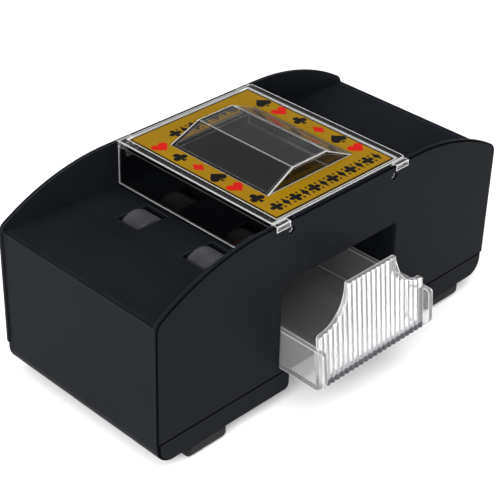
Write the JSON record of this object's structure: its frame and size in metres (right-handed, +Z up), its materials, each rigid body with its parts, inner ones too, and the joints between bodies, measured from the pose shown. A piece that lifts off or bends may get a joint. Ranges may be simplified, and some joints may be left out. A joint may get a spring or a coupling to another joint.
{
  "type": "automatic card shuffler",
  "caption": "Battery card shuffler: two sloping card bays with rubber feed rollers, a clear lift-off cover over the middle chamber, and a clear fluted tray that slides out at the front.",
  "frame": {"origin": "on the table, at the centre of the rectangle that the four feet make", "axes": "+X along the length towards the right-hand bay, +Y across it towards the back, away from the tray, +Z up"},
  "size_m": [0.207, 0.1247, 0.098],
  "materials": {
    "housing_plastic": "black moulded ABS with a fine satin texture",
    "inner_plastic": "black moulded ABS, smooth",
    "clear_plastic": "clear polished polystyrene",
    "gold_label": "mustard gold printed sheet with red and black card suits, glossy",
    "foot_rubber": "black moulded rubber",
    "roller_rubber": "dark grey soft rubber",
    "gear_plastic": "natural white acetal",
    "pinion_brass": "turned",
    "shaft_steel": "ground steel",
    "bush_bronze": "sintered bronze",
    "motor_steel": "zinc plated drawn steel",
    "motor_cap_plastic": "white nylon",
    "steel_screw": "zinc plated",
    "nickel_contact": "nickel plated spring strip",
    "spring_steel": "nickel plated spring wire",
    "switch_plastic": "moulded",
    "red_wire": "PVC insulation",
    "black_wire": "PVC insulation"
  },
  "bodies": {
    "housing": {"base_shell": "housing_plastic", "front_side_panel": "housing_plastic", "back_side_panel": "housing_plastic", "plate_screws": "steel_screw", "motor_screws": "steel_screw", "case_screws": "steel_screw", "battery_box": "inner_plastic", "battery_contacts": "nickel_contact", "battery_springs": "spring_steel", "push_switch": "switch_plastic", "switch_bracket": "inner_plastic", "battery_lead": "red_wire", "switch_lead": "red_wire", "return_lead": "black_wire", "motor_link": "black_wire", "button_spring": "spring_steel", "left_front_foot": "foot_rubber", "left_back_foot": "foot_rubber", "left_bay_floor": "housing_plastic", "left_drive_plate": "inner_plastic", "left_support_plate": "inner_plastic", "left_drive_bush": "bush_bronze", "left_support_bush": "bush_bronze", "left_gear_axle": "shaft_steel", "left_motor_can": "motor_steel", "left_motor_cap": "motor_cap_plastic", "left_tray_rail": "housing_plastic", "right_front_foot": "foot_rubber", "right_back_foot": "foot_rubber", "right_bay_floor": "housing_plastic", "right_drive_plate": "inner_plastic", "right_support_plate": "inner_plastic", "right_drive_bush": "bush_bronze", "right_support_bush": "bush_bronze", "right_gear_axle": "shaft_steel", "right_motor_can": "motor_steel", "right_motor_cap": "motor_cap_plastic", "right_tray_rail": "housing_plastic"},
    "cover": {"clear_cover": "clear_plastic", "label_plate": "gold_label"},
    "tray": {"card_tray": "clear_plastic"},
    "button": {"start_button": "inner_plastic"},
    "door": {"battery_door": "housing_plastic", "door_screw": "steel_screw"},
    "left_roller": {"left_roller_shaft": "shaft_steel", "left_front_roller": "roller_rubber", "left_back_roller": "roller_rubber", "left_roller_gear": "gear_plastic"},
    "left_reduction": {"left_reduction_gear": "gear_plastic"},
    "left_rotor": {"left_motor_rotor": "shaft_steel", "left_motor_pinion": "pinion_brass"},
    "right_roller": {"right_roller_shaft": "shaft_steel", "right_front_roller": "roller_rubber", "right_back_roller": "roller_rubber", "right_roller_gear": "gear_plastic"},
    "right_reduction": {"right_reduction_gear": "gear_plastic"},
    "right_rotor": {"right_motor_rotor": "shaft_steel", "right_motor_pinion": "pinion_brass"}
  },
  "joints": [
    {"name": "left_roller_spin", "type": "hinge", "parent": "housing", "child": "left_roller", "pos_m": [-0.05, 0, 0.06015], "axis": [0, 1, 0], "continuous": true},
    {"name": "left_reduction_spin", "type": "hinge", "parent": "housing", "child": "left_reduction", "pos_m": [-0.0538, 0, 0.052], "axis": [0, 1, 0], "continuous": true},
    {"name": "left_rotor_spin", "type": "hinge", "parent": "housing", "child": "left_rotor", "pos_m": [-0.05866, 0, 0.04157], "axis": [0, 1, 0], "continuous": true},
    {"name": "right_roller_spin", "type": "hinge", "parent": "housing", "child": "right_roller", "pos_m": [0.05, 0, 0.06015], "axis": [0, 1, 0], "continuous": true},
    {"name": "right_reduction_spin", "type": "hinge", "parent": "housing", "child": "right_reduction", "pos_m": [0.0538, 0, 0.052], "axis": [0, 1, 0], "continuous": true},
    {"name": "right_rotor_spin", "type": "hinge", "parent": "housing", "child": "right_rotor", "pos_m": [0.05866, 0, 0.04157], "axis": [0, 1, 0], "continuous": true},
    {"name": "tray_slide", "type": "slide", "parent": "housing", "child": "tray", "axis": [0, -1, 0], "range_m": [-0.0205, 0.055]},
    {"name": "cover_lift", "type": "slide", "parent": "housing", "child": "cover", "axis": [0, 0, 1], "range_m": [0, 0.06]},
    {"name": "button_press", "type": "slide", "parent": "housing", "child": "button", "axis": [0, -1, 0], "range_m": [0, 0.0025], "stiffness_N_per_m": 400, "springref_m": -0.002, "deforming": ["button_spring"]},
    {"name": "door_release", "type": "slide", "parent": "housing", "child": "door", "axis": [0, 0, -1], "range_m": [0, 0.02]}
  ],
  "couplings": [
    {"joint": "left_reduction_spin", "follows": "left_roller_spin", "ratio": -2},
    {"joint": "left_rotor_spin", "follows": "left_roller_spin", "ratio": 7.2},
    {"joint": "right_reduction_spin", "follows": "right_roller_spin", "ratio": -2},
    {"joint": "right_rotor_spin", "follows": "right_roller_spin", "ratio": 7.2}
  ]
}
